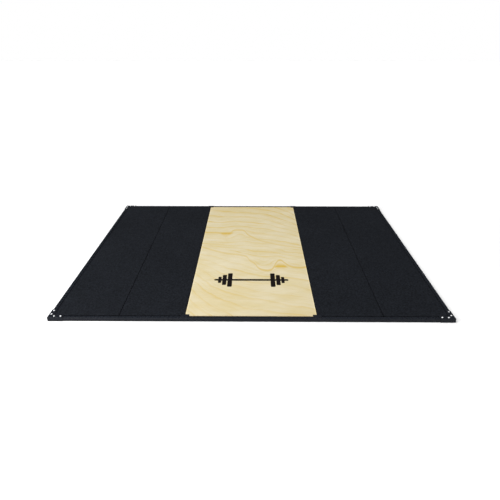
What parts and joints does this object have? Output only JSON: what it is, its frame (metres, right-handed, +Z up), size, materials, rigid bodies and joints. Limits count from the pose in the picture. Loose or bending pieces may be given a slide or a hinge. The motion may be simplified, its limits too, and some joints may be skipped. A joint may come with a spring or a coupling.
{
  "type": "weightlifting platform",
  "caption": "Low floor platform for barbell lifting: plywood standing panel between rubber drop mats, held in a bolted square tube frame.",
  "frame": {"origin": "on the floor under the centre of the platform", "axes": "+X to the lifter's right along the long side, +Y to the back, +Z up"},
  "size_m": [3.066, 2.466, 0.0374],
  "materials": {
    "black_powder_coat": "fine-textured satin black powder coat",
    "matt_black_paint": "matt black paint",
    "drop_rubber": "matt dark grey pressed rubber granulate",
    "underlay_rubber": "matt black rubber sheet",
    "birch_plywood": "pale birch veneer, satin clear lacquer",
    "zinc_plate": "bright zinc plate",
    "black_screw": "black oxide",
    "plain_steel": "plain bar steel"
  },
  "bodies": {
    "root": {"back_left_corner_bolts": "zinc_plate", "back_left_corner_bracket": "black_powder_coat", "back_left_corner_insert": "plain_steel", "back_left_seam_plate": "black_powder_coat", "back_left_seam_screws": "black_screw", "back_rail": "black_powder_coat", "back_right_corner_bolts": "zinc_plate", "back_right_corner_bracket": "black_powder_coat", "back_right_corner_insert": "plain_steel", "back_right_seam_plate": "black_powder_coat", "back_right_seam_screws": "black_screw", "front_left_corner_bolts": "zinc_plate", "front_left_corner_bracket": "black_powder_coat", "front_left_corner_insert": "plain_steel", "front_left_seam_plate": "black_powder_coat", "front_left_seam_screws": "black_screw", "front_rail": "black_powder_coat", "front_right_corner_bolts": "zinc_plate", "front_right_corner_bracket": "black_powder_coat", "front_right_corner_insert": "plain_steel", "front_right_seam_plate": "black_powder_coat", "front_right_seam_screws": "black_screw", "left_divider_bar": "matt_black_paint", "left_inner_mat": "drop_rubber", "left_outer_mat": "drop_rubber", "left_rail": "black_powder_coat", "panel_underlay": "underlay_rubber", "right_divider_bar": "matt_black_paint", "right_inner_mat": "drop_rubber", "right_outer_mat": "drop_rubber", "right_rail": "black_powder_coat", "wood_panel": "birch_plywood"}
  },
  "joints": []
}
